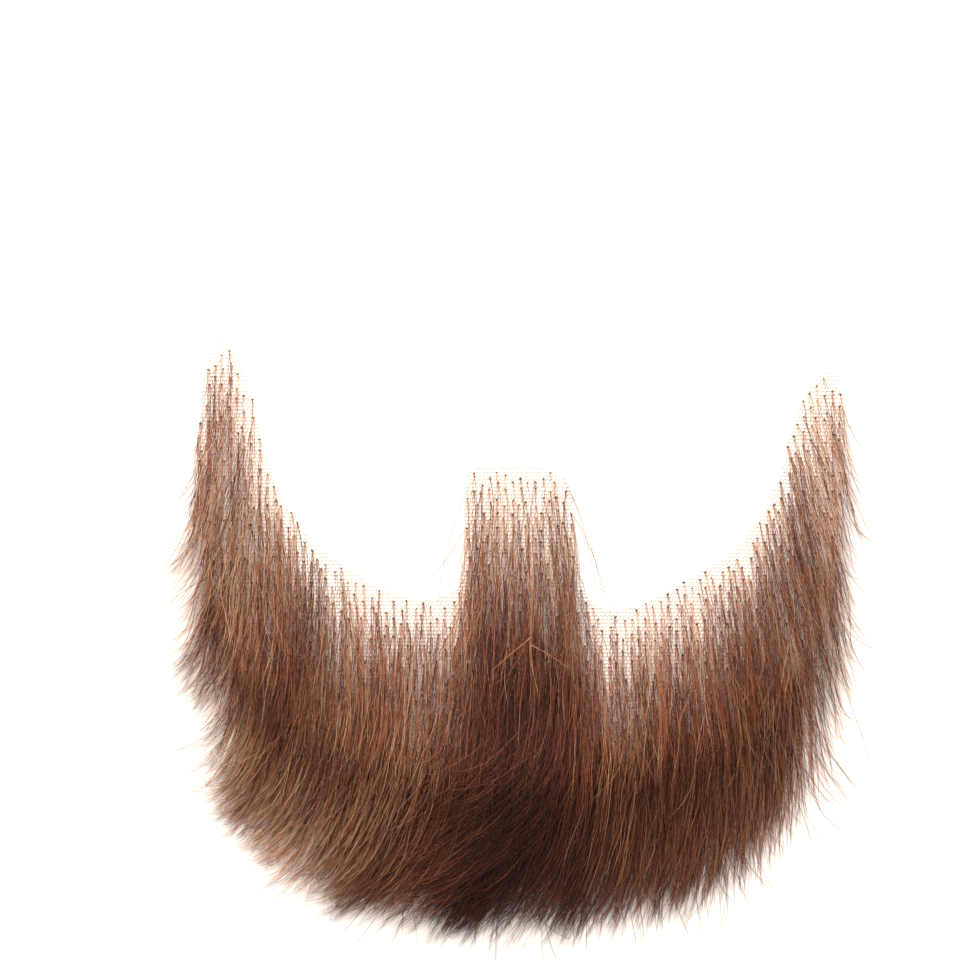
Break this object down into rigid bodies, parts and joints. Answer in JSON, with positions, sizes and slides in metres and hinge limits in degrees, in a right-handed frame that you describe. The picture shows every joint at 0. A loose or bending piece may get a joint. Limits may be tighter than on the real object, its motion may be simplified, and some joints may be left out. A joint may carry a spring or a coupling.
{
  "type": "fake beard",
  "caption": "False chin beard of brown hair knotted on a fine lace base, with two side arms that run up the cheeks and a soul patch under the lip.",
  "frame": {"origin": "on the lace's skin side, on the midline of the chin, below the soul patch", "axes": "+X towards the picture's right, +Y up the face, +Z out of the skin side through the lace to the hair"},
  "size_m": [0.1282, 0.1125, 0.0111],
  "materials": {
    "lace": "fine flesh-coloured lace, sheer and matt",
    "side_hair": "reddish brown hair with a soft sheen",
    "chin_hair": "dark brown hair with a soft sheen",
    "soul_patch_hair": "brown hair with a soft sheen"
  },
  "bodies": {
    "root": {"lace_base": "lace", "left_side_hair": "side_hair", "chin_hair": "chin_hair", "right_side_hair": "side_hair", "soul_patch_hair": "soul_patch_hair"}
  },
  "joints": []
}
